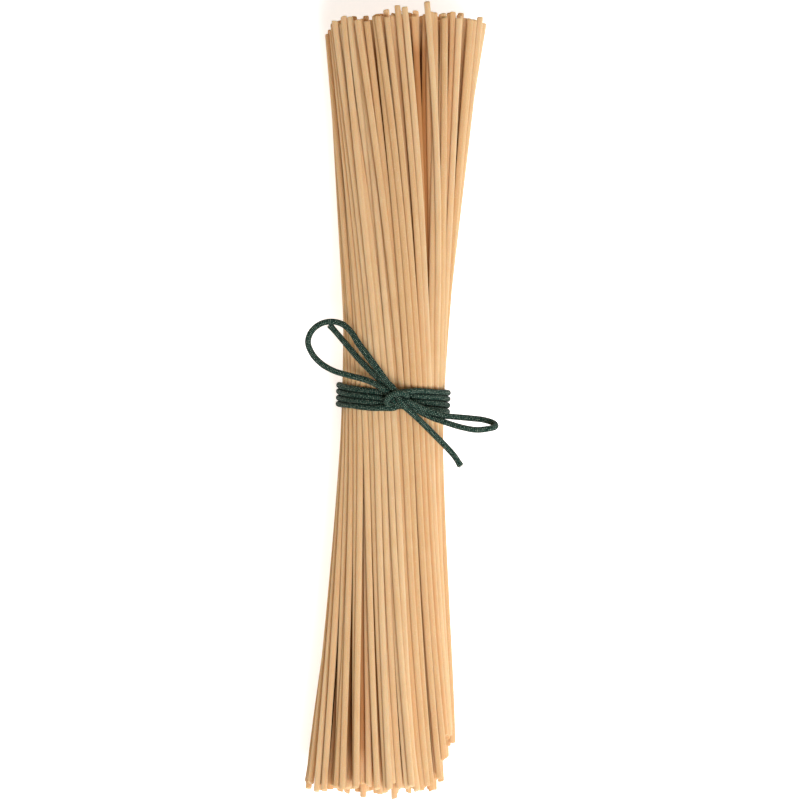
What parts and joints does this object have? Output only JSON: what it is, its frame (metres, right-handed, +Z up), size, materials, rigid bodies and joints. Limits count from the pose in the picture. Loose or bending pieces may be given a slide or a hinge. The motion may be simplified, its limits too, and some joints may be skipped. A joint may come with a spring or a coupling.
{
  "type": "bundle of dry spaghetti",
  "caption": "Bundle of long dry spaghetti strands, slightly twisted and flared to both ends, held at the waist by a green cord wound round it and tied in a bow.",
  "frame": {"origin": "on the surface the bundle lies on, under the middle of the bundle", "axes": "+Y along the bundle, +X across it, +Z up through the knot"},
  "size_m": [0.0633, 0.2635, 0.0439],
  "materials": {
    "dry_pasta": "matte, faintly floury dry durum wheat",
    "green_cord": "dark green waxed braided cotton"
  },
  "bodies": {
    "root": {"spaghetti_bundle": "dry_pasta", "tie_windings": "green_cord", "tie_knot": "green_cord", "tie_loop_left": "green_cord", "tie_loop_right": "green_cord", "tie_tail_upper": "green_cord", "tie_tail_lower": "green_cord"}
  },
  "joints": []
}
